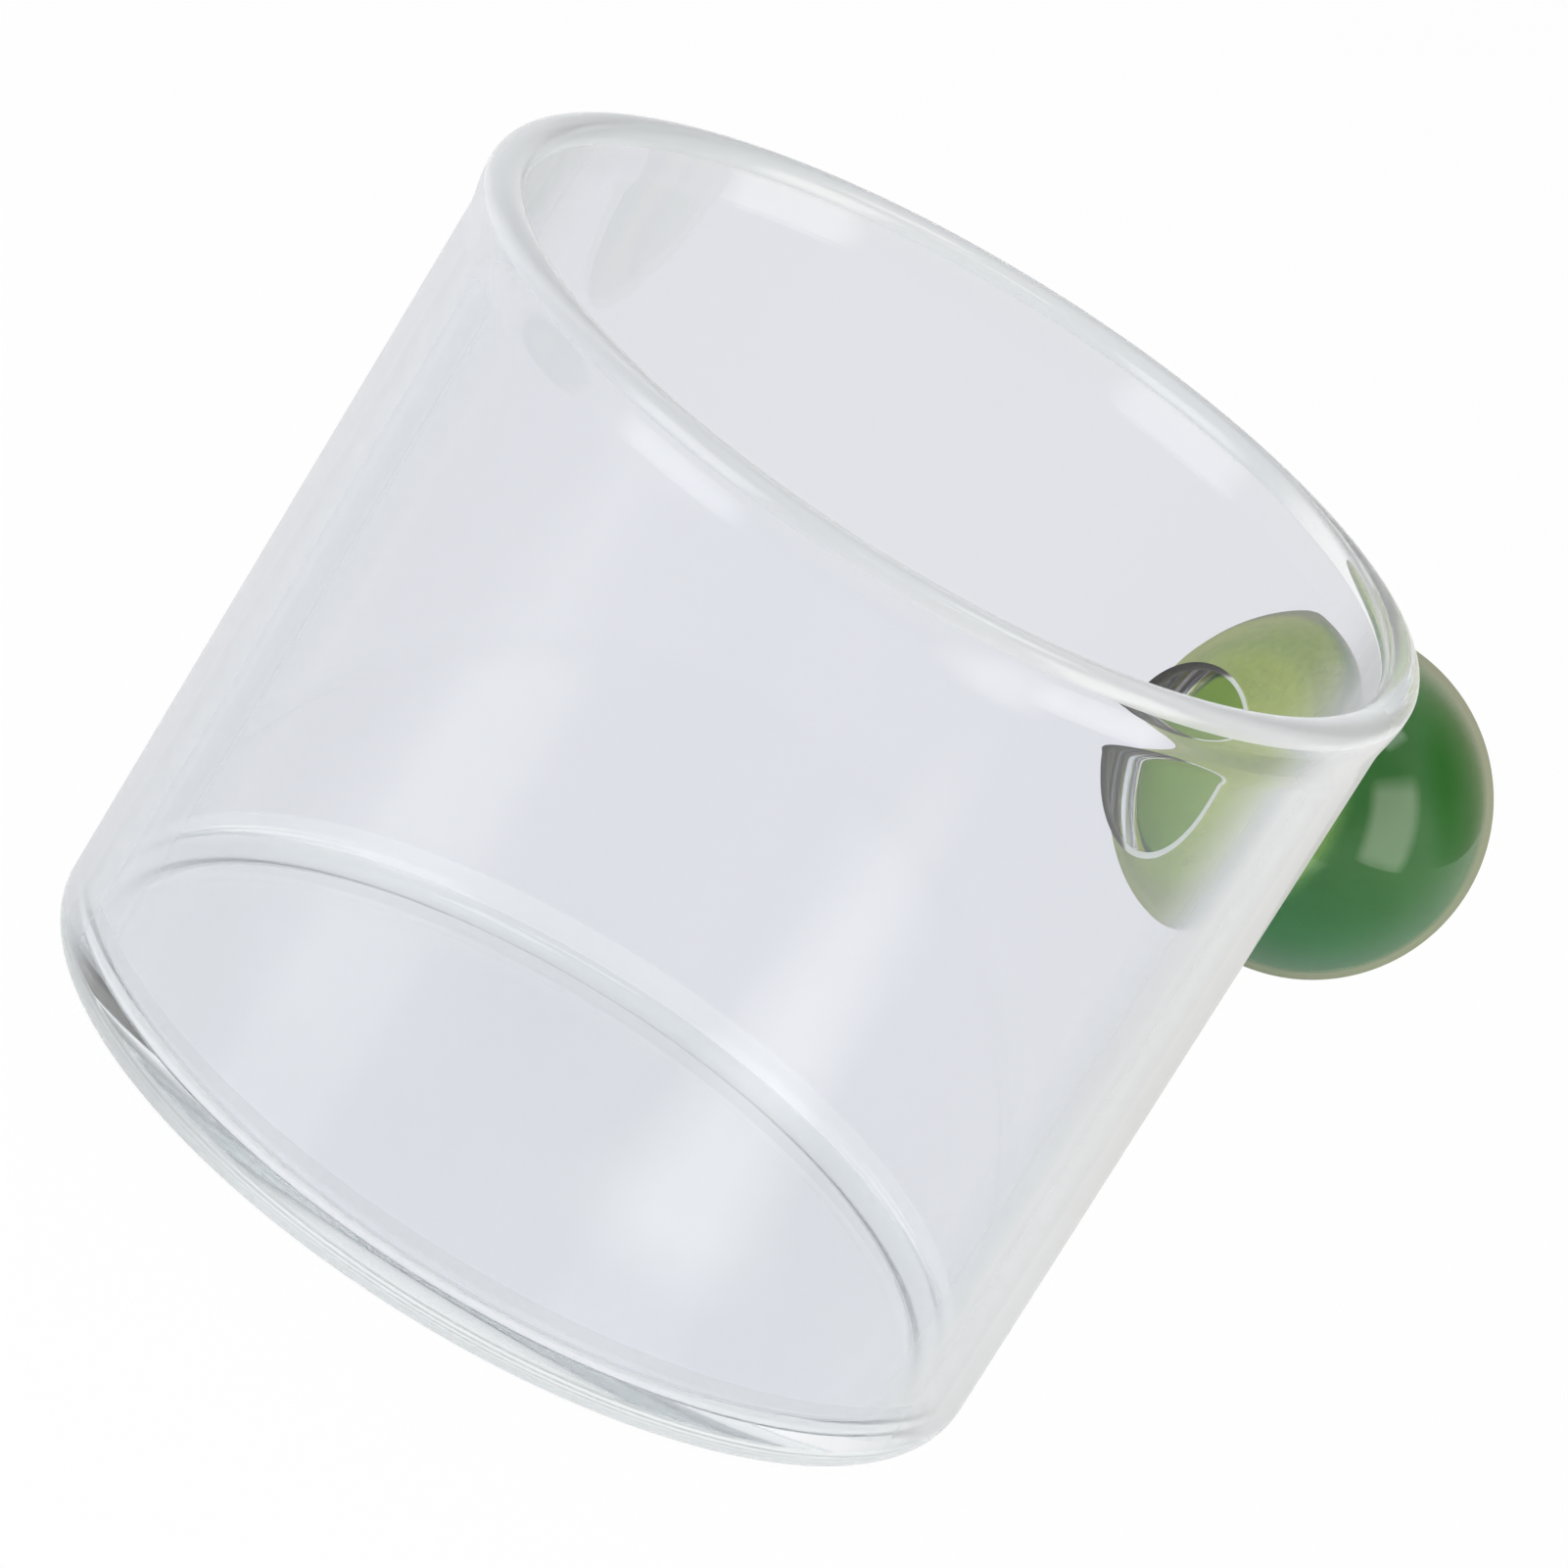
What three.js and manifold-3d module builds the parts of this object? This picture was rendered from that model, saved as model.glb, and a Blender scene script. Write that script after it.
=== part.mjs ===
// Glass teacup: a straight clear glass cup with a green glass ball fused to its wall as a handle.
// Sizes are in millimetres and +Z is up. The origin is the centre of the underside.
// The ball handle stands out along +X.
import * as THREE from "three";
import { mergeVertices } from "three/addons/utils/BufferGeometryUtils.js";
import Module from "manifold-3d";

// Driving sizes of the cup
const cupDiameter = 76;
const cupHeight = 67;
const wallThickness = 2.4;
const floorThickness = 2.5;
const heelRadius = 2.3;
const floorFillet = 2.4;
const lipDiameter = 3;
const lipLean = 0.2;
const lipSwellLength = 4;

// Driving sizes of the ball handle
const ballDiameter = 27;
const ballHeight = 45;
const ballSink = 1.3;
const casingThickness = 4.4;
const weldFillet = 0.5;
const plugDiameter = 10;

// Clearance between curved faces that are fused together on the real cup
const jointGap = 0.3;

// Fineness of the round surfaces
const cupSegments = 72;
const ballSegments = 36;
const ballSteps = 16;
const cornerSteps = 5;
const lipSteps = 6;
const mergeDistance = 1e-4;

// Sizes that follow from the driving ones
const cupRadius = cupDiameter / 2;
const innerRadius = cupRadius - wallThickness;
const wallMiddle = cupRadius - wallThickness / 2;
const lipRadius = lipDiameter / 2;
const lipMiddle = wallMiddle + lipLean;
const lipCentreHeight = cupHeight - lipRadius;
const ballRadius = ballDiameter / 2;
const ballReach = cupRadius + ballRadius - ballSink;
const ballToWall = ballReach - cupRadius;
const cavityRadius = ballRadius - casingThickness;
const coreRadius = cavityRadius - jointGap;
const plugRadius = plugDiameter / 2;
const boreRadius = plugRadius + jointGap;

// The fillet round the weld touches the ball and the plane that touches the wall.
const filletReach = Math.sqrt((ballRadius + weldFillet) ** 2 - (ballToWall - weldFillet) ** 2);
const wallDrop = cupRadius - Math.sqrt(cupRadius ** 2 - filletReach ** 2);
const footDepth = ballToWall + wallDrop;

const clearGlass = new THREE.MeshStandardMaterial({
  color: 0xe3e6ea,
  roughness: 0.02,
  metalness: 0,
  transparent: true,
  opacity: 0.35,
});
const greenGlass = new THREE.MeshStandardMaterial({ color: 0x2d692d, roughness: 0.05, metalness: 0 });

const wasm = await Module();
wasm.setup();

// Points of an arc, from one angle to the other, both ends included.
function arc(centreX, centreY, radius, fromAngle, toAngle, steps) {
  return Array.from({ length: steps + 1 }, (_, i) => {
    const angle = THREE.MathUtils.lerp(fromAngle, toAngle, i / steps);
    return new THREE.Vector2(centreX + radius * Math.cos(angle), centreY + radius * Math.sin(angle));
  });
}

// A closed geometry as a solid that can be joined and cut.
function solidOf(geometry) {
  const bare = geometry.clone();
  bare.deleteAttribute("normal");
  bare.deleteAttribute("uv");
  const merged = mergeVertices(bare, mergeDistance);
  const vertProperties = merged.getAttribute("position").array;
  const triVerts = new Uint32Array(merged.index.array);
  return new wasm.Manifold(new wasm.Mesh({ numProp: 3, vertProperties, triVerts }));
}

// A solid as a geometry again.
function geometryOf(solid) {
  const { vertProperties, triVerts } = solid.getMesh();
  const geometry = new THREE.BufferGeometry();
  geometry.setAttribute("position", new THREE.BufferAttribute(vertProperties, 3));
  geometry.setIndex(new THREE.BufferAttribute(triVerts, 1));
  geometry.computeVertexNormals();
  return geometry;
}

// A profile of radius and height, turned about the cup's axis.
function turnedAboutCup(profile) {
  return new THREE.LatheGeometry(profile, cupSegments).rotateX(Math.PI / 2);
}

// A geometry made round the Y axis, laid along the handle's axis with its origin at the ball's centre.
function laidOnHandle(geometry) {
  return geometry.rotateZ(-Math.PI / 2).translate(ballReach, 0, ballHeight);
}

// The space that the wall and its joint take up, which the pieces fused to the wall are cut by.
function wallCutter() {
  const radius = cupRadius + jointGap;
  const cylinder = new THREE.CylinderGeometry(radius, radius, cupHeight, cupSegments);
  return solidOf(cylinder.rotateX(Math.PI / 2).translate(0, 0, cupHeight / 2));
}

// The space that the green ball and its joint take up.
function coreCutter() {
  return solidOf(laidOnHandle(new THREE.SphereGeometry(cavityRadius, ballSegments, ballSteps)));
}

// One side of the wall where it swells smoothly into the round lip, from the plain wall up to the lip's centre.
function lipSwell(side) {
  const { lerp } = THREE.MathUtils;
  return Array.from({ length: lipSteps }, (_, i) => {
    const share = i / lipSteps;
    const ease = (1 - Math.cos(Math.PI * share)) / 2;
    const middle = lerp(wallMiddle, lipMiddle, ease);
    const halfThickness = lerp(wallThickness / 2, lipRadius, ease);
    return new THREE.Vector2(middle + side * halfThickness, lipCentreHeight - lipSwellLength * (1 - share));
  });
}

// Tube with a round lip at its top and a fillet inside its foot. It stands on the base disc.
function cupWall() {
  const fillet = Math.min(floorFillet, innerRadius);
  const profile = [
    new THREE.Vector2(cupRadius, floorThickness),
    ...lipSwell(1),
    ...arc(lipMiddle, lipCentreHeight, lipRadius, 0, Math.PI, lipSteps),
    ...lipSwell(-1).reverse(),
    ...arc(innerRadius - fillet, floorThickness + fillet, fillet, 0, -Math.PI / 2, cornerSteps),
    new THREE.Vector2(cupRadius, floorThickness),
  ];
  return turnedAboutCup(profile);
}

// Flat disc with a rounded heel, as wide as the tube that stands on it.
function baseDisc() {
  const heel = Math.min(heelRadius, floorThickness);
  const profile = [
    new THREE.Vector2(0, 0),
    ...arc(cupRadius - heel, heel, heel, -Math.PI / 2, 0, cornerSteps),
    new THREE.Vector2(cupRadius, floorThickness),
    new THREE.Vector2(0, floorThickness),
  ];
  return turnedAboutCup(profile);
}

// Green ball in the middle of the handle.
function handleCore() {
  return laidOnHandle(new THREE.SphereGeometry(coreRadius, ballSegments, ballSteps));
}

// Clear skin over the green ball. A fillet flares its foot onto the wall, where a bore reaches the ball.
// A turn is counted from the handle's outer end, so a right angle less the turn is the arc's own angle.
function handleCasing() {
  const rightAngle = Math.PI / 2;
  const weldTurn = Math.acos((weldFillet - ballToWall) / (ballRadius + weldFillet));
  const boreTurn = Math.PI - Math.asin(boreRadius / cavityRadius);
  const profile = [
    ...arc(0, 0, cavityRadius, rightAngle, rightAngle - boreTurn, ballSteps),
    new THREE.Vector2(boreRadius, -footDepth),
    new THREE.Vector2(filletReach, -footDepth),
    ...arc(filletReach, weldFillet - ballToWall, weldFillet, -rightAngle, -rightAngle - weldTurn, cornerSteps),
    ...arc(0, 0, ballRadius, rightAngle - weldTurn, rightAngle, ballSteps),
  ];
  const blank = laidOnHandle(new THREE.LatheGeometry(profile, ballSegments));
  return geometryOf(solidOf(blank).subtract(wallCutter()));
}

// Dab of clear glass in the casing's bore, between the wall and the green ball.
function weldPlug() {
  const cylinder = new THREE.CylinderGeometry(plugRadius, plugRadius, footDepth, ballSegments);
  const blank = laidOnHandle(cylinder.translate(0, -footDepth / 2, 0));
  return geometryOf(solidOf(blank).subtract(coreCutter()).subtract(wallCutter()));
}

// A named piece of the cup.
function piece(name, geometry, material) {
  const mesh = new THREE.Mesh(geometry, material);
  mesh.name = name;
  return mesh;
}

const teacup = new THREE.Group();
teacup.name = "glass_teacup";
teacup.add(
  piece("cup_wall", cupWall(), clearGlass),
  piece("base_disc", baseDisc(), clearGlass),
  piece("handle_core", handleCore(), greenGlass),
  piece("handle_casing", handleCasing(), clearGlass),
  piece("weld_plug", weldPlug(), clearGlass),
);

export default teacup;
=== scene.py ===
"""Looks of a clear glass teacup with a green glass ball fused to its wall as a handle. Units are metres."""
import math

import bpy
from mathutils import Matrix, Vector


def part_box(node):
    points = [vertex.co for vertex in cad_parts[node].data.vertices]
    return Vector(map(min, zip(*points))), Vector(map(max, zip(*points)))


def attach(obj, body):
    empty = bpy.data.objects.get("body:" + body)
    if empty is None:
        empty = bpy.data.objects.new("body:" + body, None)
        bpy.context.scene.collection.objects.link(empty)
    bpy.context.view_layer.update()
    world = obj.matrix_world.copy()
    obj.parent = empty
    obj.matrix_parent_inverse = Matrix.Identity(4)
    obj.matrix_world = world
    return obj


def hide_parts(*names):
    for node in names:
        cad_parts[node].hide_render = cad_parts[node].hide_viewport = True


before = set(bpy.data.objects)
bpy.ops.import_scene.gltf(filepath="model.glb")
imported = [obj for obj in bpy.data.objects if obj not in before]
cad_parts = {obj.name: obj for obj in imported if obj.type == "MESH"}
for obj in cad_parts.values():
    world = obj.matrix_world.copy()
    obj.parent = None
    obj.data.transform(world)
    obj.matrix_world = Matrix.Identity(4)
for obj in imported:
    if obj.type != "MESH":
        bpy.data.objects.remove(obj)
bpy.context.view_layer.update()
mm = 0.001

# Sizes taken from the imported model
_, base_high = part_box("base_disc")
_, wall_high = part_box("cup_wall")
casing_low, casing_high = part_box("handle_casing")
core_low, core_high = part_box("handle_core")
cup_radius = base_high.x
floor_top = base_high.z
cup_height = wall_high.z
ball_radius = (casing_high.z - casing_low.z) / 2
ball_centre = Vector((casing_high.x - ball_radius, 0, (casing_high.z + casing_low.z) / 2))
core_radius = (core_high.z - core_low.z) / 2

# Sizes of the glass that the model's boxes don't give
wall_thickness = 2.4 * mm
heel_radius = 2.3 * mm
floor_fillet = 2.4 * mm
lip_swell_length = 4 * mm
lip_lean = 0.2 * mm
weld_fillet = 0.5 * mm
fillet_spread = math.radians(4)
fillet_reach = 0.6

# Sizes that follow
inner_radius = cup_radius - wall_thickness
wall_middle = cup_radius - wall_thickness / 2
lip_middle = wall_middle + lip_lean
lip_radius = wall_high.x - lip_middle
lip_centre_height = cup_height - lip_radius
ball_to_wall = ball_centre.x - cup_radius
weld_centre = Vector((cup_radius, 0, ball_centre.z))
weld_radius = math.sqrt((ball_radius + weld_fillet) ** 2 - (ball_to_wall - weld_fillet) ** 2)
weld_turn = math.acos((weld_fillet - ball_to_wall) / (ball_radius + weld_fillet)) - fillet_spread

# How far the hand-rolled green ball is out of round, as shares of its radius, and the angle it starts at
core_squash = 0.012
core_squash_start = 0.6
core_bulge = 0.008

# Fineness of the meshes
cup_segments = 256
patch_half_columns = 16
corner_steps = 32
lip_steps = 24
ball_steps = 56
fillet_steps = 10
disc_rings = 8
patch_rings = 6
core_columns = 96
core_rows = 48
underside_rings = (0.3, 0.6, 0.85)
floor_rings = (0.7, 0.4)

# Rows of the wall are as high as a column is wide, and a square patch of them surrounds the weld
row_height = 2 * math.pi * cup_radius / cup_segments
patch_columns = [i % cup_segments for i in range(-patch_half_columns, patch_half_columns)]

# The camera stands and tilts as the photograph's did. Its lens and sensor are in millimetres
camera_turn = math.radians(-42.37)
camera_elevation = math.radians(19.39)
camera_roll = math.radians(31.75)
camera_distance = 0.912
camera_target = Vector((2.2, -2.01, 35.93)) * mm
camera_lens = 289.65
camera_sensor = 36
camera_right = Vector((math.cos(camera_turn), math.sin(camera_turn), 0))
camera_flat = Vector((math.sin(camera_turn), -math.cos(camera_turn), 0))
camera_back = camera_flat * math.cos(camera_elevation) + Vector((0, 0, math.sin(camera_elevation)))
camera_up = camera_back.cross(camera_right)
picture_right = camera_right * math.cos(camera_roll) + camera_up * math.sin(camera_roll)
picture_up = camera_up * math.cos(camera_roll) - camera_right * math.sin(camera_roll)

# Material slots: plain glass, fused seam, the lip or heel, the wall's inner face, and the fillet at its foot
GLASS, SEAM, ROUND, INSIDE, FOOT = range(5)

# All the glass
glass_ior = 1.5
white = (1, 1, 1)
shadow_tint = (0.9, 0.92, 0.93)
noise_range = (0.3, 0.7)

# Tints of the clear glass
clear_smoke = (0.955, 0.965, 0.985)
base_smoke = (0.94, 0.95, 0.99)
casing_smoke = (0.79, 0.80, 0.835)
# Painted shade on light that enters the wall's inner face, which darkens all that is seen through the far
# wall
inside_painted_shade = (0.66, 0.665, 0.695)
# Painted darker tint of the fillet in the corner at the wall's foot
foot_painted_shade_tint = (0.86, 0.87, 0.89)
lip_smoke = (0.97, 0.98, 1.0)
lip_painted_light = (0.70, 0.72, 0.77)

# Changes of tint with the share of the cup's height: a little greener at the heel and warmer at the lip
height_tints = ((0.02, (0.97, 0.99, 0.98)), (0.07, white), (0.955, white), (0.985, (1, 1, 0.97)))

# Faint upright cords, as in drawn tube
cord_scale = (60.0, 60.0, 6.0)
cord_detail = 2.0
cord_tints = ((noise_range[0], (0.985, 0.985, 0.99)), (noise_range[1], white))

# Light that passes through glass seen edge on, as pairs of how much it turns away and the level
wall_edge = ((0.1, 1.0), (0.45, 0.97), (0.6, 0.95), (0.67, 0.85), (0.74, 0.62), (0.85, 0.5), (1.0, 0.4))
base_edge = ((0.1, 1.0), (0.45, 0.94), (0.7, 0.88), (1.0, 0.6))
lip_edge = ((0.3, 0.88), (0.75, 1.0))
heel_edge = ((0.3, 1.0), (1.0, 0.95))
foot_edge = ((0.3, 1.0), (1.0, 0.9))
casing_edge = ((0.3, 1.0), (0.8, 0.9), (1.0, 0.3))

# Painted pale sheen where glass is seen edge on, standing in for light caught inside it, as pairs of
# mirrored share and amount, and a painted greyer shade near the weld
painted_edge_sheen = (0.67, 0.68, 0.71)
painted_weld_shade = (0.575, 0.57, 0.57)
painted_weld_shade_reach = (24 * mm, 46 * mm)
wall_edge_sheen_levels = ((0.09, 0.0), (0.155, 0.33), (0.28, 0.75), (0.95, 0.8), (1.0, 0.08))
base_edge_sheen_levels = ((0.1, 0.0), (0.2, 0.25), (0.4, 0.6), (0.95, 0.75), (1.0, 0.0))

# The lip is painted milky, standing in for light caught inside its thick bead, but clear beside the handle
clear_lip_turn = math.radians(-26)
clear_lip_reach = (14 * mm, 24 * mm)
lip_clearness = (0.9, 0.3)
lip_roughness = 0.12

# The heel, with a painted pale tone in place of light caught inside it, and the fillet at the wall's foot,
# with painted grey shade in that corner
heel_painted_light = (0.73, 0.75, 0.77)
heel_painted_light_amount = 0.35
heel_roughness = 0.03
foot_painted_shade = (0.66, 0.67, 0.70)
foot_painted_shade_amount = 0.25
foot_roughness = 0.08

# Painted pale olive light on the ball's clear skin near the weld, and a painted white highlight where the
# skin meets the wall
painted_pale_light = (0.66, 0.71, 0.18)
painted_pale_light_amount = 0.4
painted_pale_light_axis = cup_radius - 6.5 * mm
painted_pale_light_reach = (13.6 * mm, 15.8 * mm)
painted_pale_light_grain = 1500.0
painted_pale_light_detail = 1.0
painted_pale_light_mottle = (0.9, 1.1)
painted_weld_highlight = (0.97, 0.97, 0.95)
painted_weld_highlight_amount = 0.75
painted_weld_highlight_reach = (cup_radius + 0.4 * mm, cup_radius + 0.7 * mm)

# Painted reflection and shade on the ball's skin seen edge on, darker green below and paler olive above, and
# a painted dark outline. The rim's tint goes by the share of the ball's height
rim_painted_tints = ((0.45, (0.09, 0.21, 0.10)), (0.95, (0.37, 0.40, 0.27)))
rim_painted_levels = ((0.05, 0.0), (0.09, 0.13), (0.154, 0.4), (0.225, 0.65), (0.38, 0.85), (0.95, 0.85), (1.0, 0.0))
outline_painted_shade = (0.34, 0.34, 0.25)
outline_painted_shade_levels = ((0.17, 0.0), (0.27, 0.7), (0.95, 0.75), (1.0, 0.0))

# Painted grey shade along one side of the weld, where light is lost inside the glass, and the height that
# keeps it off the seam at the wall's foot
crescent_shade_centre = weld_centre + Vector((0, -0.5, 0.05)) * weld_radius
crescent_shade_reach = (1.08 * weld_radius, 1.5 * weld_radius)
crescent_shade_tints = ((0.0, white), (0.12, (0.55, 0.53, 0.54)), (1.0, (0.45, 0.44, 0.44)))
crescent_shade_lowest = 2 * floor_top

# Green glass, with tints by the share of its height. It has painted pale olive light and more cloud on the
# weld's side
green_tints = ((0.1, (0.38, 0.55, 0.46)), (0.9, (0.52, 0.55, 0.38)))
green_clouds = ((0.1, (0.0, 0.30, 0.18)), (0.5, (0.24, 0.55, 0.2)), (0.9, (0.24, 0.46, 0.2)))
green_painted_light_tints = ((0.1, (0.33, 0.56, 0.10)), (0.9, (0.42, 0.56, 0.09)))
green_painted_light_reach = (ball_centre.x - 0.6 * core_radius, ball_centre.x - 0.38 * core_radius)
green_painted_light_amount = 0.5
green_speck_grain = 300.0
green_speck_detail = 3.0
green_speck_amounts = (0.08, 0.14)
green_absorption = (0.07, 0.8, 0.1)
green_density = 280.0

# White floor, and a pale room that is dimmer overhead
floor_half = 3.0
floor_drop = 0.02 * mm
floor_paint = (0.95, 0.95, 0.95)
floor_white_share = 0.955
room_heights = (0.25, 0.8)
room_levels = (1.0, 0.68)

# Dark flags, in degrees: turn, elevation, how far from its middle each is full and ends. Then its level
flags = (
    (125, 24, 16, 42, 0.12),
    (185, 58, 8, 14, 0.12),
    (5, 40, 22, 52, 0.55),
)

# Lamps fade towards their edges. Shares of a side where the light starts, is full, is still full and ends
warm = (1.0, 0.97, 0.86)
neutral = (1.0, 1.0, 1.0)
soft_edges = (0.0, 0.2, 0.8, 1.0)
panel_edges = (0.0, 0.4, 0.6, 1.0)

# Soft boxes: name, turn and elevation in degrees, distance, width, height, radiance and colour
softboxes = (
    ("window_right", 61, 21, 0.6, 0.42, 0.66, 3.1, warm),
    ("window_left", -46, 20, 0.7, 0.52, 0.7, 2.5, neutral),
    ("overhead", 81, 73, 0.6, 0.22, 0.22, 2.6, neutral),
    ("strip_above", 15, 62, 0.6, 0.32, 0.08, 2.8, neutral),
)

# Panels on the floor: name, turn in degrees, start, end, width, radiance, colour and fading along it
panel_lift = 0.2 * mm
panels = (
    ("panel_left", -54, 0.025, 0.22, 0.09, 0.6, neutral, (0.0, 0.1, 0.9, 1.0)),
    ("panel_right", 40, 0.025, 0.18, 0.06, 1.9, warm, (0.0, 0.65, 0.9, 1.0)),
)

# Light goes through many faces in thick glass
light_bounces = 128


def new_material(name):
    """An empty node material with its node tree, and the place of each of its points."""
    material = bpy.data.materials.new(name)
    material.use_nodes = True
    tree = material.node_tree
    tree.nodes.clear()
    place = add_node(tree, "ShaderNodeTexCoord").outputs["Object"]
    return material, tree, place


def add_node(tree, kind, inputs=None, **settings):
    """A node with its settings and its input values or links."""
    node = tree.nodes.new(kind)
    for key, value in settings.items():
        setattr(node, key, value)
    for key, value in (inputs or {}).items():
        if isinstance(value, bpy.types.NodeSocket):
            tree.links.new(value, node.inputs[key])
        else:
            node.inputs[key].default_value = value
    return node


def set_surface(tree, shader):
    """Makes the shader the material's surface."""
    add_node(tree, "ShaderNodeOutputMaterial", {"Surface": shader})


def solid(colour):
    """An opaque colour, as sockets take it."""
    return (*colour, 1)


def grey(level):
    """The grey of a level."""
    return (level, level, level)


def ramp(tree, share, stops):
    """Colour ramp over a share from 0 to 1, from pairs of position and colour."""
    node = add_node(tree, "ShaderNodeValToRGB", {"Fac": share})
    elements = node.color_ramp.elements
    while len(elements) < len(stops):
        elements.new(0.5)
    for element, (position, colour) in zip(elements, stops):
        element.position = position
        element.color = solid(colour)
    return node.outputs["Color"]


def grey_ramp(tree, share, levels):
    """Ramp over a share from 0 to 1, from pairs of position and level."""
    return ramp(tree, share, [(position, grey(level)) for position, level in levels])


def mapped(tree, value, reach, results=(0.0, 1.0), smooth=False):
    """A value that goes through the results, from first to last, as the given one goes through its reach."""
    node = add_node(tree, "ShaderNodeMapRange", {
        "Value": value,
        "From Min": reach[0],
        "From Max": reach[1],
        "To Min": results[0],
        "To Max": results[1],
    }, interpolation_type="SMOOTHSTEP" if smooth else "LINEAR")
    return node.outputs["Result"]


def calculated(tree, operation, first, second):
    """Result of a calculation with two values."""
    return add_node(tree, "ShaderNodeMath", {0: first, 1: second}, operation=operation).outputs[0]


def multiplied(tree, colour_a, colour_b):
    """Product of two colours."""
    node = add_node(tree, "ShaderNodeMix", data_type="RGBA", blend_type="MULTIPLY")
    node.inputs["Factor"].default_value = 1
    tree.links.new(colour_a, node.inputs[6])
    tree.links.new(colour_b, node.inputs[7])
    return node.outputs[2]


def parts_of(tree, place):
    """The X, Y and Z of a place."""
    return add_node(tree, "ShaderNodeSeparateXYZ", {"Vector": place}).outputs


def distance_from(tree, place, point):
    """How far a place lies from a point."""
    node = add_node(tree, "ShaderNodeVectorMath", {0: place, 1: tuple(point)}, operation="DISTANCE")
    return node.outputs["Value"]


def distance_from_upright(tree, place, x, y=0.0):
    """How far a place lies from the upright line through x and y."""
    level = add_node(tree, "ShaderNodeVectorMath", {0: place, 1: (1, 1, 0)}, operation="MULTIPLY")
    return distance_from(tree, level.outputs["Vector"], (x, y, 0))


def noise(tree, place, scale, detail):
    """Noise from 0 to 1."""
    node = add_node(tree, "ShaderNodeTexNoise", {"Vector": place, "Scale": scale, "Detail": detail})
    return node.outputs["Fac"]


def glass_tint(tree, place, edge_levels, smoke=clear_smoke):
    """Colour of clear glass: smoky, with cords, and darker where it is seen edge on."""
    share = mapped(tree, parts_of(tree, place)["Z"], (0.0, cup_height))
    body = ramp(tree, share, [
        (position, [part * level for part, level in zip(colour, smoke)]) for position, colour in height_tints
    ])
    facing = add_node(tree, "ShaderNodeLayerWeight", {"Blend": 0.5}).outputs["Facing"]
    edge = grey_ramp(tree, facing, edge_levels)
    stretched = add_node(tree, "ShaderNodeMapping", {"Vector": place, "Scale": cord_scale})
    cords = ramp(tree, noise(tree, stretched.outputs["Vector"], 1.0, cord_detail), cord_tints)
    return multiplied(tree, body, multiplied(tree, edge, cords))


def glass_shader(tree, tint, roughness=0.0, clearness=1.0):
    """Glass of a colour. It is milky where its clearness is less than 1."""
    glass = add_node(tree, "ShaderNodeBsdfPrincipled", {
        "Base Color": tint,
        "Roughness": roughness,
        "IOR": glass_ior,
        "Transmission Weight": clearness,
    })
    return glass.outputs["BSDF"]


def with_matt_layer(tree, shader, colour, amount):
    """The shader under a matt layer, whose colour is a value or a socket."""
    if not isinstance(colour, bpy.types.NodeSocket):
        colour = solid(colour)
    matt_layer = add_node(tree, "ShaderNodeBsdfDiffuse", {"Color": colour})
    mix = add_node(tree, "ShaderNodeMixShader", {0: amount, 1: shader, 2: matt_layer.outputs["BSDF"]})
    return mix.outputs["Shader"]


def with_painted_edge(tree, shader, colour, levels):
    """The shader under a painted matt colour where the glass is seen edge on, standing in for the light
    there, with pairs of how much the glass mirrors there and how much of the colour it has.
    """
    mirrored = add_node(tree, "ShaderNodeFresnel", {"IOR": glass_ior}).outputs["Fac"]
    return with_matt_layer(tree, shader, colour, grey_ramp(tree, mirrored, levels))


def letting_light_pass(tree, shader):
    """The shader, except that lamps' light and light on its way to a matt surface go straight through."""
    clear = add_node(tree, "ShaderNodeBsdfTransparent", {"Color": solid(shadow_tint)})
    path = add_node(tree, "ShaderNodeLightPath").outputs
    passes = calculated(tree, "MAXIMUM", path["Is Shadow Ray"], path["Is Diffuse Ray"])
    mix = add_node(tree, "ShaderNodeMixShader", {0: passes, 1: shader, 2: clear.outputs["BSDF"]})
    return mix.outputs["Shader"]


def wall_glass_material(name, front_painted_shade):
    """Clear drawn glass of the tube, darker towards its outline, with a painted pale sheen where it is seen
    edge on and painted shade on light that enters it through the face's front.
    """
    material, tree, place = new_material(name)
    # Painted shade on light that enters through the front of the face
    leaving = add_node(tree, "ShaderNodeNewGeometry").outputs["Backfacing"]
    smoke = ramp(tree, leaving, ((0.0, front_painted_shade), (1.0, white)))
    tint = multiplied(tree, glass_tint(tree, place, wall_edge), smoke)
    # Painted pale sheen at the edges, turning to a painted greyer shade near the weld
    share = mapped(tree, distance_from(tree, place, weld_centre), painted_weld_shade_reach)
    matt_layer = ramp(tree, share, ((0.0, painted_weld_shade), (1.0, painted_edge_sheen)))
    shader = with_painted_edge(tree, glass_shader(tree, tint), matt_layer, wall_edge_sheen_levels)
    set_surface(tree, letting_light_pass(tree, shader))
    return material


def base_glass_material():
    """Clear glass of the floor."""
    material, tree, place = new_material("base_glass")
    tint = glass_tint(tree, place, base_edge, base_smoke)
    shader = with_painted_edge(tree, glass_shader(tree, tint), painted_edge_sheen, base_edge_sheen_levels)
    set_surface(tree, letting_light_pass(tree, shader))
    return material


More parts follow.
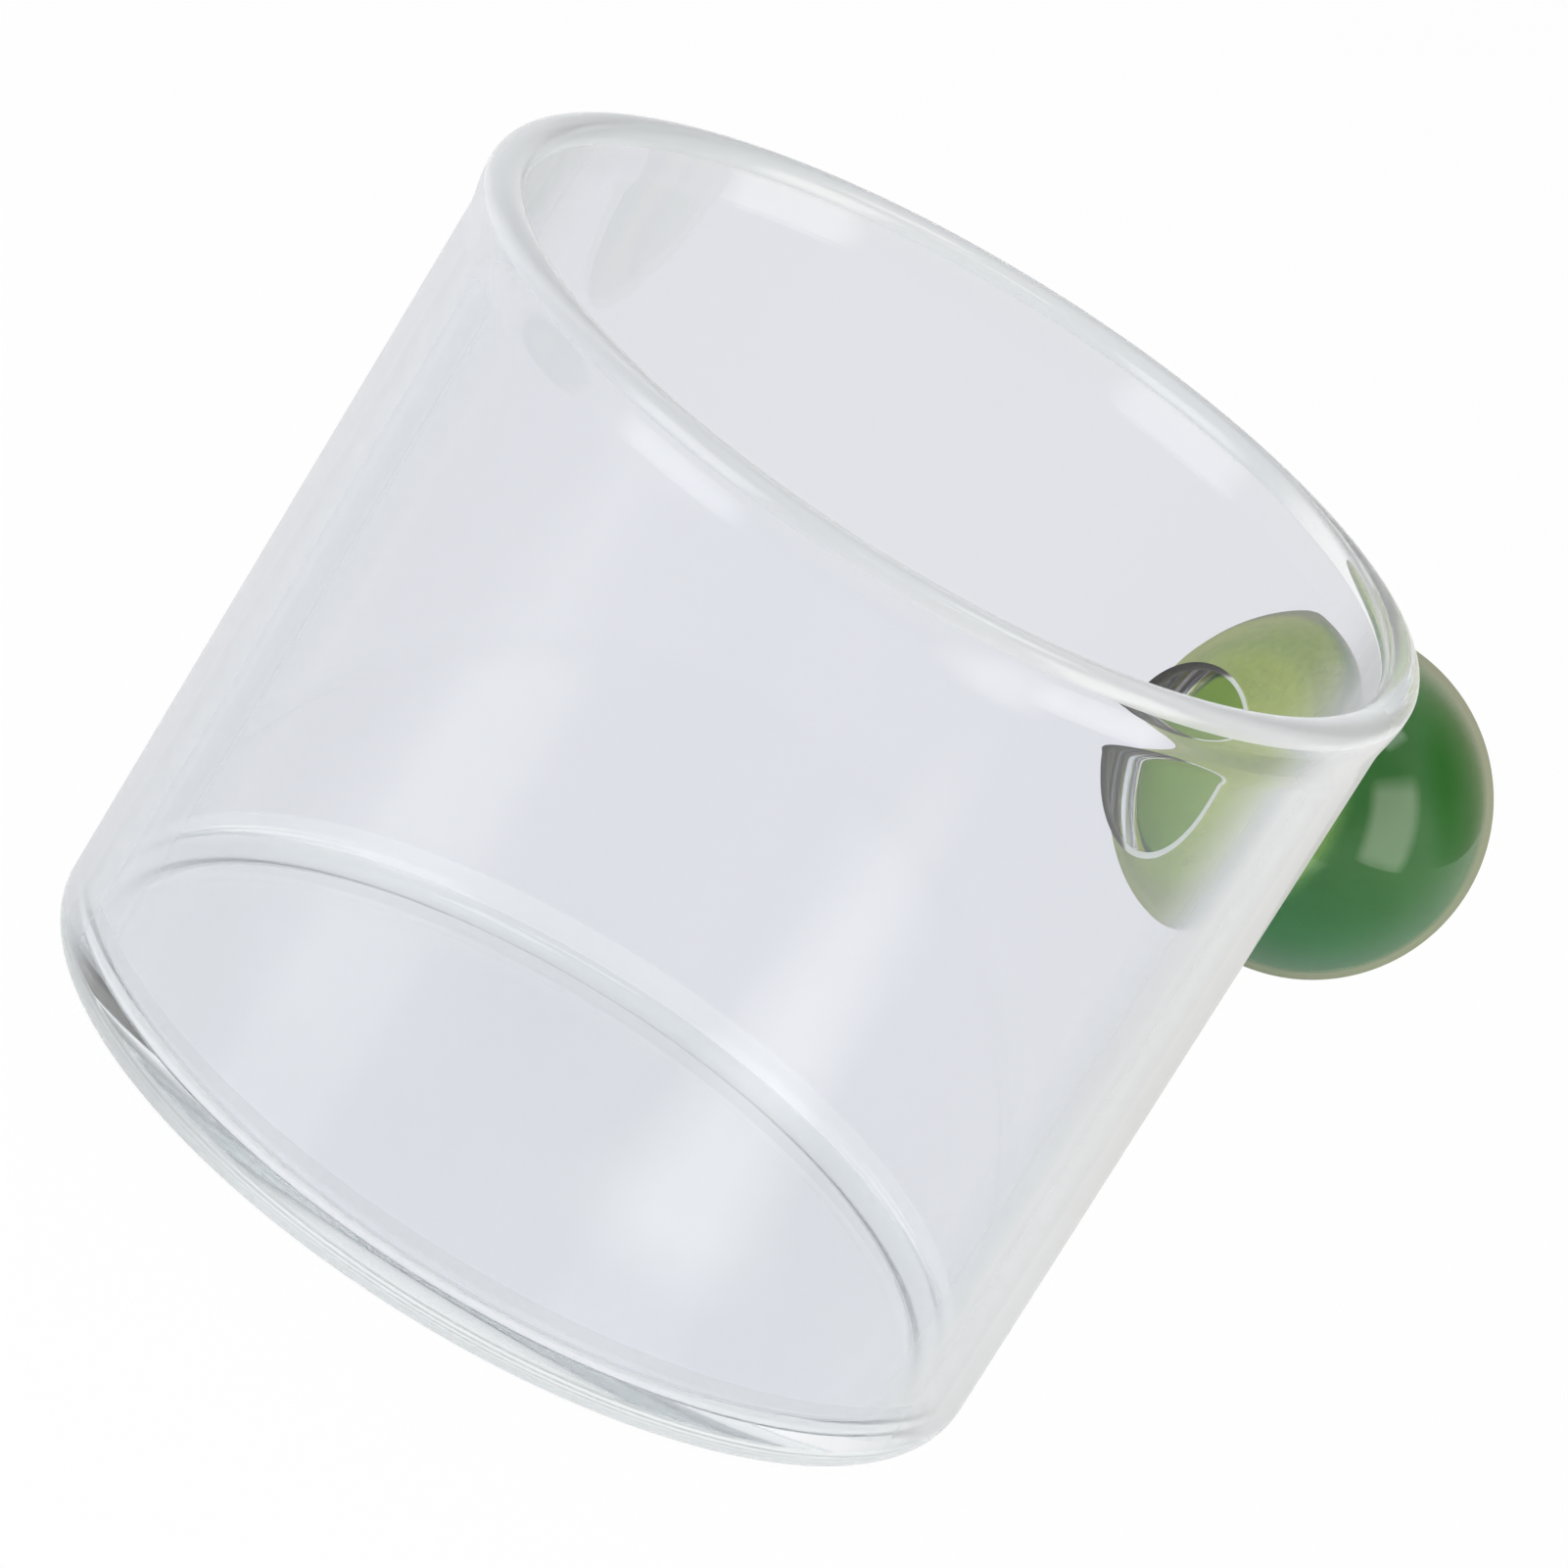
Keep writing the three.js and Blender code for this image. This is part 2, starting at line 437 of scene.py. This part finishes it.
def lip_glass_material():
    """Thick glass of the lip, painted softly milky in place of the light caught inside it, and clear beside
    the handle.
    """
    material, tree, place = new_material("lip_glass")
    clear_x = cup_radius * math.cos(clear_lip_turn)
    clear_y = cup_radius * math.sin(clear_lip_turn)
    away = distance_from_upright(tree, place, clear_x, clear_y)
    painted_milkiness = mapped(tree, away, clear_lip_reach, smooth=True)
    roughness = calculated(tree, "MULTIPLY", painted_milkiness, lip_roughness)
    clearness = mapped(tree, painted_milkiness, (0.0, 1.0), lip_clearness)
    colour = ramp(tree, painted_milkiness, ((0.0, lip_smoke), (1.0, lip_painted_light)))
    tint = multiplied(tree, colour, glass_tint(tree, place, lip_edge, white))
    shader = glass_shader(tree, tint, roughness, clearness)
    set_surface(tree, letting_light_pass(tree, shader))
    return material


def foot_glass_material():
    """Slightly rough glass of the fillet between the wall and the floor, greyed and darkened by painted
    shade in that corner.
    """
    material, tree, place = new_material("foot_glass")
    shader = glass_shader(tree, glass_tint(tree, place, foot_edge, foot_painted_shade_tint), foot_roughness)
    shader = with_matt_layer(tree, shader, foot_painted_shade, foot_painted_shade_amount)
    set_surface(tree, letting_light_pass(tree, shader))
    return material


def heel_glass_material():
    """Thick glass of the heel, under a painted pale tone in place of the light caught inside it."""
    material, tree, place = new_material("heel_glass")
    shader = glass_shader(tree, glass_tint(tree, place, heel_edge), heel_roughness)
    shader = with_matt_layer(tree, shader, heel_painted_light, heel_painted_light_amount)
    set_surface(tree, letting_light_pass(tree, shader))
    return material


def painted_pale_light_share(tree, place):
    """How much painted pale light a place of the ball's skin near the weld has, with a fine mottle."""
    away = distance_from_upright(tree, place, painted_pale_light_axis)
    pale_light = mapped(tree, away, painted_pale_light_reach, (painted_pale_light_amount, 0.0), smooth=True)
    mottle = mapped(tree, noise(tree, place, painted_pale_light_grain, painted_pale_light_detail), noise_range, painted_pale_light_mottle)
    return calculated(tree, "MULTIPLY", pale_light, mottle)


def casing_glass_material():
    """Clear glass over the green ball, with painted olive reflection and shade seen edge on, painted pale
    light near the weld and a painted white highlight at the weld.
    """
    material, tree, place = new_material("casing_glass")
    shader = glass_shader(tree, glass_tint(tree, place, casing_edge, casing_smoke))
    share = mapped(tree, parts_of(tree, place)["Z"], (casing_low.z, casing_high.z))
    # Painted white highlight round the skin's foot on the wall
    weld_highlight = mapped(tree, distance_from_upright(tree, place, 0.0), painted_weld_highlight_reach, (painted_weld_highlight_amount, 0.0))
    # Painted reflection and shade at the ball's edge, then a painted dark outline
    shader = with_painted_edge(tree, shader, ramp(tree, share, rim_painted_tints), rim_painted_levels)
    shader = with_painted_edge(tree, shader, outline_painted_shade, outline_painted_shade_levels)
    shader = with_matt_layer(tree, shader, painted_pale_light, painted_pale_light_share(tree, place))
    shader = with_matt_layer(tree, shader, painted_weld_highlight, weld_highlight)
    set_surface(tree, letting_light_pass(tree, shader))
    return material


def seam_material():
    """Joint inside fused glass, where light goes straight on. The weld has painted grey shade along one
    side.
    """
    material, tree, place = new_material("fused_seam")
    # Painted grey shade that dims the light passing the weld on one side
    share = mapped(tree, distance_from(tree, place, crescent_shade_centre), crescent_shade_reach)
    on_weld = calculated(tree, "GREATER_THAN", parts_of(tree, place)["Z"], crescent_shade_lowest)
    crescent_shade = ramp(tree, calculated(tree, "MULTIPLY", share, on_weld), crescent_shade_tints)
    clear = add_node(tree, "ShaderNodeBsdfTransparent", {"Color": crescent_shade})
    set_surface(tree, clear.outputs["BSDF"])
    return material


def green_glass_material():
    """Slightly cloudy green glass, olive above and teal below. It has painted pale light and more cloud near
    the weld.
    """
    material, tree, place = new_material("green_glass")
    parts = parts_of(tree, place)
    share = mapped(tree, parts["Z"], (core_low.z, core_high.z))
    # Painted pale light, and more cloud, towards the weld
    weld_side = mapped(tree, parts["X"], green_painted_light_reach, (1.0, 0.0), smooth=True)
    blend = add_node(tree, "ShaderNodeMix", {"Factor": weld_side}, data_type="RGBA")
    tree.links.new(ramp(tree, share, green_clouds), blend.inputs[6])
    tree.links.new(ramp(tree, share, green_painted_light_tints), blend.inputs[7])
    speckle = noise(tree, place, green_speck_grain, green_speck_detail)
    specks = mapped(tree, speckle, noise_range, green_speck_amounts)
    amount = add_node(tree, "ShaderNodeMath", {
        0: weld_side,
        1: green_painted_light_amount,
        2: specks,
    }, operation="MULTIPLY_ADD").outputs[0]
    clear = add_node(tree, "ShaderNodeBsdfTransparent", {"Color": ramp(tree, share, green_tints)})
    absorption = add_node(tree, "ShaderNodeVolumeAbsorption", {
        "Color": solid(green_absorption),
        "Density": green_density,
    })
    add_node(tree, "ShaderNodeOutputMaterial", {
        "Surface": with_matt_layer(tree, clear.outputs["BSDF"], blend.outputs[2], amount),
        "Volume": absorption.outputs["Volume"],
    })
    return material


def arc(centre_x, centre_y, radius, from_angle, to_angle, steps):
    """Points of an arc, both ends included."""
    points = []
    for i in range(steps + 1):
        angle = from_angle + (to_angle - from_angle) * i / steps
        points.append((centre_x + radius * math.cos(angle), centre_y + radius * math.sin(angle)))
    return points


class Builder:
    """Vertices and faces of one piece, with a material slot for each face."""

    def __init__(self):
        self.vertices = []
        self.faces = []
        self.slots = []

    def add_ring(self, points):
        """New vertices, and their numbers."""
        first = len(self.vertices)
        self.vertices.extend(points)
        return list(range(first, len(self.vertices)))

    def add_face(self, corners, slot):
        """A face with a material slot."""
        self.faces.append(corners)
        self.slots.append(slot)

    def bridge(self, ring_a, ring_b, slot=GLASS, skip=()):
        """Quads from one closed ring to the next one, without the columns in skip."""
        count = len(ring_a)
        for i in range(count):
            if i not in skip:
                after = (i + 1) % count
                self.add_face((ring_a[i], ring_a[after], ring_b[after], ring_b[i]), slot)

    def fan(self, ring, centre, slot=GLASS):
        """Triangles from a closed ring to one vertex."""
        count = len(ring)
        for i in range(count):
            self.add_face((ring[i], ring[(i + 1) % count], centre), slot)

    def piece(self, name, materials):
        """The finished object, smooth except at the edges of its seams."""
        mesh = bpy.data.meshes.new(name)
        mesh.from_pydata(self.vertices, [], self.faces)
        mesh.polygons.foreach_set("material_index", self.slots)
        mesh.polygons.foreach_set("use_smooth", [True] * len(self.faces))
        for material in materials:
            mesh.materials.append(material)
        touching = {}
        for polygon, slot in zip(mesh.polygons, self.slots):
            for key in polygon.edge_keys:
                touching.setdefault(key, set()).add(slot)
        for edge in mesh.edges:
            slots = touching[edge.key]
            edge.use_edge_sharp = SEAM in slots and len(slots) > 1
        mesh.update()
        mesh.validate()
        made = bpy.data.objects.new(name, mesh)
        bpy.context.scene.collection.objects.link(made)
        return made


def cup_ring(radius, height):
    """A level ring of points about the cup's axis, starting on the handle's side."""
    turn = 2 * math.pi / cup_segments
    return [(radius * math.cos(i * turn), radius * math.sin(i * turn), height) for i in range(cup_segments)]


def lip_swell(side):
    """One side of the wall where it swells smoothly into the lip, up to just below the lip's centre."""
    points = []
    for i in range(lip_steps):
        share = i / lip_steps
        ease = (1 - math.cos(math.pi * share)) / 2
        middle = wall_middle + lip_lean * ease
        half_thickness = wall_thickness / 2 + (lip_radius - wall_thickness / 2) * ease
        height = lip_centre_height - lip_swell_length * (1 - share)
        points.append((middle + side * half_thickness, height))
    return points


def wall_point(side, height):
    """The point on the wall's outside, on the handle's side, at a distance sideways and a height."""
    return (math.sqrt(cup_radius ** 2 - side ** 2), side, height)


def patch_edge():
    """The edge of the patch round the weld, as pairs of column and row counted from the weld's centre."""
    half = patch_half_columns
    steps = range(-half, half)
    edge = [(i, -half) for i in steps] + [(half, i) for i in steps]
    return edge + [(-i, half) for i in steps] + [(-half, -i) for i in steps]


def patch_corners():
    """The points of the patch's edge, as distances sideways and heights."""
    turn = 2 * math.pi / cup_segments
    return [(cup_radius * math.sin(i * turn), ball_centre.z + j * row_height) for i, j in patch_edge()]


def weld_angles():
    """The angle about the weld's centre of each point of the patch's edge."""
    return [math.atan2(side, height - ball_centre.z) for side, height in patch_corners()]


def on_weld_circle(angle, radius=weld_radius):
    """Distance sideways and height of a point round the weld's centre."""
    return radius * math.sin(angle), ball_centre.z + radius * math.cos(angle)


def weld_ring(radius):
    """A ring of points on the wall round the weld's centre."""
    return [wall_point(*on_weld_circle(angle, radius)) for angle in weld_angles()]


def add_weld_disc(builder, edge_ring, outwards):
    """Faces of the fused disc inside edge_ring. They face along the handle where outwards is true."""
    previous = edge_ring
    for k in range(1, disc_rings):
        ring = builder.add_ring(weld_ring(weld_radius * (1 - k / disc_rings)))
        if outwards:
            builder.bridge(previous, ring, SEAM)
        else:
            builder.bridge(ring, previous, SEAM)
        previous = ring
    centre = builder.add_ring([wall_point(0, ball_centre.z)])[0]
    builder.fan(previous if outwards else previous[::-1], centre, SEAM)


def add_weld_patch(builder, boundary):
    """Faces of the patch from its edge to the weld's edge, which is given back."""
    previous = boundary
    for k in range(1, patch_rings + 1):
        share = k / patch_rings
        points = []
        for (side, height), angle in zip(patch_corners(), weld_angles()):
            weld_side, weld_height = on_weld_circle(angle)
            points.append(wall_point(
                side + (weld_side - side) * share,
                height + (weld_height - height) * share,
            ))
        ring = builder.add_ring(points)
        builder.bridge(previous, ring)
        previous = ring
    return previous


def make_wall(materials):
    """Tube with a round lip and a fillet at its foot. The weld's disc is cut into its outside."""
    builder = Builder()
    rows_up = int((lip_centre_height - lip_swell_length - ball_centre.z) / row_height)
    rows_down = int((ball_centre.z - floor_top) / row_height)
    fillet_centre = (inner_radius - floor_fillet, floor_top + floor_fillet)
    rows_above_fillet = int((ball_centre.z - fillet_centre[1]) / row_height)
    outside = [(cup_radius, floor_top)]
    outside += [(cup_radius, ball_centre.z + i * row_height) for i in range(-rows_down, rows_up)]
    outside += lip_swell(1)
    lip = arc(lip_middle, lip_centre_height, lip_radius, 0, math.pi, lip_steps)
    inside = lip_swell(-1)[::-1]
    inside_rows = range(rows_up - 1, -rows_above_fillet - 1, -1)
    inside += [(inner_radius, ball_centre.z + i * row_height) for i in inside_rows]
    foot = arc(*fillet_centre, floor_fillet, 0, -math.pi / 2, corner_steps)
    profile = outside + lip + inside + foot
    rings = [builder.add_ring(cup_ring(radius, height)) for radius, height in profile]

    weld_row = 1 + rows_down
    patch_rows = range(weld_row - patch_half_columns, weld_row + patch_half_columns)
    first_lip_row = len(outside)
    first_inside_row = first_lip_row + len(lip) - 1
    first_foot_row = first_inside_row + len(inside)
    slots = [GLASS] * first_lip_row
    slots += [ROUND] * (first_inside_row - first_lip_row)
    slots += [INSIDE] * (first_foot_row - first_inside_row)
    slots += [FOOT] * (len(rings) - 1 - first_foot_row)
    for i, slot in enumerate(slots):
        builder.bridge(rings[i], rings[i + 1], slot, patch_columns if i in patch_rows else ())
    builder.bridge(rings[-1], rings[0], SEAM)

    boundary = [rings[weld_row + j][i % cup_segments] for i, j in patch_edge()]
    add_weld_disc(builder, add_weld_patch(builder, boundary), True)
    return builder.piece("cup_wall_glass", materials)


def make_base(materials):
    """Flat floor with a rounded heel. Its top ring is fused to the tube's foot."""
    builder = Builder()
    underside = [(cup_radius * share, 0) for share in underside_rings]
    heel = arc(cup_radius - heel_radius, heel_radius, heel_radius, -math.pi / 2, 0, corner_steps)
    top = [(cup_radius, floor_top), (inner_radius - floor_fillet, floor_top)]
    top += [(cup_radius * share, floor_top) for share in floor_rings]
    profile = underside + heel + top
    rings = [builder.add_ring(cup_ring(radius, height)) for radius, height in profile]
    slots = [GLASS] * len(underside) + [ROUND] * len(heel) + [SEAM]
    slots += [GLASS] * (len(rings) - 1 - len(slots))
    for i, slot in enumerate(slots):
        builder.bridge(rings[i], rings[i + 1], slot)
    centre_below = builder.add_ring([(0, 0, 0)])[0]
    centre_above = builder.add_ring([(0, 0, floor_top)])[0]
    builder.fan(rings[0][::-1], centre_below)
    builder.fan(rings[-1], centre_above)
    return builder.piece("base_disc_glass", materials)


def fillet_point(angle, share):
    """A point of the fillet that runs from the weld's edge on the wall up to the ball."""
    side = math.sin(angle)
    up = math.cos(angle)
    start_x = math.sqrt(cup_radius ** 2 - (weld_radius * side) ** 2)
    start = Vector((weld_radius, start_x))
    slope = -weld_radius * side ** 2 / start_x
    end = Vector((ball_radius * math.sin(weld_turn), ball_centre.x + ball_radius * math.cos(weld_turn)))
    along_wall = Vector((-1, -slope)).normalized()
    along_ball = Vector((-math.cos(weld_turn), math.sin(weld_turn)))
    reach = fillet_reach * (end - start).length
    wall_bend = start + along_wall * reach
    ball_bend = end - along_ball * reach
    rest = 1 - share
    point = rest ** 3 * start + 3 * rest ** 2 * share * wall_bend
    point = point + 3 * rest * share ** 2 * ball_bend + share ** 3 * end
    return (point.y, point.x * side, ball_centre.z + point.x * up)


def make_handle(materials):
    """Clear ball, with the fillet that runs onto the wall and the fused disc under it."""
    builder = Builder()
    angles = weld_angles()
    edge_ring = builder.add_ring(weld_ring(weld_radius))
    previous = edge_ring
    for k in range(1, fillet_steps + 1):
        ring = builder.add_ring([fillet_point(angle, k / fillet_steps) for angle in angles])
        builder.bridge(previous, ring)
        previous = ring
    for k in range(1, ball_steps):
        turn = weld_turn * (1 - k / ball_steps)
        along = ball_centre.x + ball_radius * math.cos(turn)
        radius = ball_radius * math.sin(turn)
        ring = builder.add_ring([(along, *on_weld_circle(angle, radius)) for angle in angles])
        builder.bridge(previous, ring)
        previous = ring
    pole = builder.add_ring([(ball_centre.x + ball_radius, 0, ball_centre.z)])[0]
    builder.fan(previous, pole)
    add_weld_disc(builder, edge_ring, False)
    return builder.piece("handle_ball_glass", materials)


def core_point(turn, angle):
    """A point of the green ball, at a turn from the handle's outer end and an angle round its axis."""
    squash = core_squash * math.sin(2 * turn + core_squash_start) * math.cos(2 * angle)
    radius = core_radius * (1 + squash + core_bulge * math.cos(3 * turn))
    around = radius * math.sin(turn)
    return (
        ball_centre.x + radius * math.cos(turn),
        around * math.cos(angle),
        ball_centre.z + around * math.sin(angle),
    )


def make_core(materials):
    """Green gather inside the ball, not quite round, as it was rolled by hand."""
    builder = Builder()
    angles = [2 * math.pi * i / core_columns for i in range(core_columns)]
    rings = []
    for k in range(1, core_rows):
        turn = math.pi * (1 - k / core_rows)
        rings.append(builder.add_ring([core_point(turn, angle) for angle in angles]))
    for ring, following in zip(rings, rings[1:]):
        builder.bridge(ring, following)
    near = builder.add_ring([core_point(math.pi, 0)])[0]
    far = builder.add_ring([core_point(0, 0)])[0]
    builder.fan(rings[0][::-1], near)
    builder.fan(rings[-1], far)
    return builder.piece("handle_core_green", materials)


def make_pieces():
    """All the pieces, each on the cup's one body and in the place of its solids."""
    seam = seam_material()
    wall_glass = [
        wall_glass_material("wall_glass", white),
        seam,
        lip_glass_material(),
        wall_glass_material("wall_inside_glass", inside_painted_shade),
        foot_glass_material(),
    ]
    base_glass = [base_glass_material(), seam, heel_glass_material()]
    casing_glass = [casing_glass_material(), seam]
    green_glass = [green_glass_material()]
    pieces = (
        (make_wall(wall_glass), "clear_glass", ("cup_wall",)),
        (make_base(base_glass), "clear_glass", ("base_disc",)),
        (make_handle(casing_glass), "clear_glass", ("handle_casing", "weld_plug")),
        (make_core(green_glass), "green_glass", ("handle_core",)),
    )
    for piece, slot, nodes in pieces:
        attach(piece, "root")
        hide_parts(*nodes)


def make_camera():
    """Camera at the photograph's place, with its lens and its tilt."""
    data = bpy.data.cameras.new("camera")
    data.sensor_width = camera_sensor
    data.lens = camera_lens
    data.clip_start = 10 * mm
    camera = bpy.data.objects.new("camera", data)
    facing = Matrix((picture_right, picture_up, camera_back)).transposed().to_4x4()
    camera.matrix_world = Matrix.Translation(camera_target + camera_back * camera_distance) @ facing
    bpy.context.scene.collection.objects.link(camera)
    bpy.context.scene.camera = camera


def floor_material():
    """White to the camera and in the glass, with a share of plain paint that keeps the cup's shadow."""
    material, tree, _ = new_material("floor_white")
    path = add_node(tree, "ShaderNodeLightPath").outputs
    seen = calculated(tree, "MAXIMUM", path["Is Camera Ray"], path["Is Glossy Ray"])
    seen = calculated(tree, "MAXIMUM", seen, path["Is Transmission Ray"])
    share = calculated(tree, "MULTIPLY", seen, floor_white_share)
    paint = add_node(tree, "ShaderNodeBsdfDiffuse", {"Color": solid(floor_paint)})
    glow = add_node(tree, "ShaderNodeEmission", {"Color": solid(white), "Strength": 1.0})
    mix = add_node(tree, "ShaderNodeMixShader", {
        0: share,
        1: paint.outputs["BSDF"],
        2: glow.outputs["Emission"],
    })
    set_surface(tree, mix.outputs["Shader"])
    return material


def make_floor():
    """Plain white floor."""
    mesh = bpy.data.meshes.new("floor")
    half = floor_half
    corners = [(-half, -half, 0), (half, -half, 0), (half, half, 0), (-half, half, 0)]
    mesh.from_pydata(corners, [], [(0, 1, 2, 3)])
    mesh.materials.append(floor_material())
    floor = bpy.data.objects.new("floor", mesh)
    floor.location.z = -floor_drop
    bpy.context.scene.collection.objects.link(floor)


def make_world():
    """Pale studio, dimmer overhead, with dark flags whose mirror images draw the glass's edges."""
    world = bpy.data.worlds.new("studio")
    world.use_nodes = True
    tree = world.node_tree
    tree.nodes.clear()
    direction = add_node(tree, "ShaderNodeTexCoord").outputs["Generated"]
    strength = mapped(tree, parts_of(tree, direction)["Z"], room_heights, room_levels, smooth=True)
    for turn, elevation, inner, outer, darkest in flags:
        middle = tuple(seen_from_cup(turn, elevation))
        closeness = add_node(tree, "ShaderNodeVectorMath", {
            0: direction,
            1: middle,
        }, operation="DOT_PRODUCT")
        reach = (math.cos(math.radians(outer)), math.cos(math.radians(inner)))
        left_over = mapped(tree, closeness.outputs["Value"], reach, (1.0, darkest), smooth=True)
        strength = calculated(tree, "MULTIPLY", strength, left_over)
    light = add_node(tree, "ShaderNodeBackground", {"Color": solid(white), "Strength": strength})
    add_node(tree, "ShaderNodeOutputWorld", {"Surface": light.outputs["Background"]})
    bpy.context.scene.world = world


def seen_from_cup(turn, elevation=0):
    """Direction from the cup at a turn to the camera's right and at an elevation, in degrees."""
    turn = math.radians(turn)
    elevation = math.radians(elevation)
    level = camera_flat * math.cos(turn) + camera_right * math.sin(turn)
    return level * math.cos(elevation) + Vector((0, 0, math.sin(elevation)))


def make_lamp(name, width, height, radiance, colour, fade_across, fade_along):
    """Rectangular lamp that is as bright as radiance on its face, and fades towards its edges."""
    data = bpy.data.lights.new(name, "AREA")
    data.shape = "RECTANGLE"
    data.size = width
    data.size_y = height
    data.energy = radiance * math.pi * width * height
    data.color = colour
    data.use_nodes = True
    tree = data.node_tree
    tree.nodes.clear()
    place = add_node(tree, "ShaderNodeNewGeometry").outputs["Parametric"]
    shares = parts_of(tree, place)
    across = grey_ramp(tree, shares["X"], tuple(zip(fade_across, (0, 1, 1, 0))))
    along = grey_ramp(tree, shares["Y"], tuple(zip(fade_along, (0, 1, 1, 0))))
    light = add_node(tree, "ShaderNodeEmission", {"Color": multiplied(tree, across, along)})
    add_node(tree, "ShaderNodeOutputLight", {"Surface": light.outputs["Emission"]})
    lamp = bpy.data.objects.new(name, data)
    bpy.context.scene.collection.objects.link(lamp)
    return lamp


def make_softbox(name, turn, elevation, distance, width, height, radiance, colour):
    """Lamp at a turn from the camera's side, facing the cup."""
    away = seen_from_cup(turn, elevation)
    lamp = make_lamp(name, width, height, radiance, colour, soft_edges, soft_edges)
    lamp.location = camera_target + away * distance
    lamp.rotation_euler = away.to_track_quat("Z", "Y").to_euler()


def make_panel(name, turn, start, end, width, radiance, colour, fade_along):
    """Light panel lying on the floor, where the wall mirrors it to the camera at half its turn."""
    outwards = seen_from_cup(turn)
    foot = seen_from_cup(turn / 2) * cup_radius
    lamp = make_lamp(name, width, end - start, radiance, colour, panel_edges, fade_along)
    sideways = Vector((0, 0, 1)).cross(outwards)
    facing = Matrix((sideways, -outwards, Vector((0, 0, -1)))).transposed().to_4x4()
    middle = foot + outwards * (start + end) / 2 + Vector((0, 0, panel_lift))
    lamp.matrix_world = Matrix.Translation(middle) @ facing
    # The glass would show the panel itself as a white patch
    lamp.visible_transmission = False


def set_rendering():
    """Plain colours, and enough bounces for thick glass."""
    scene = bpy.context.scene
    scene.view_settings.view_transform = "Standard"
    scene.cycles.max_bounces = light_bounces
    scene.cycles.transmission_bounces = light_bounces
    scene.cycles.glossy_bounces = light_bounces
    scene.cycles.transparent_max_bounces = light_bounces


make_pieces()
for softbox in softboxes:
    make_softbox(*softbox)
for panel in panels:
    make_panel(*panel)
make_camera()
make_floor()
make_world()
set_rendering()
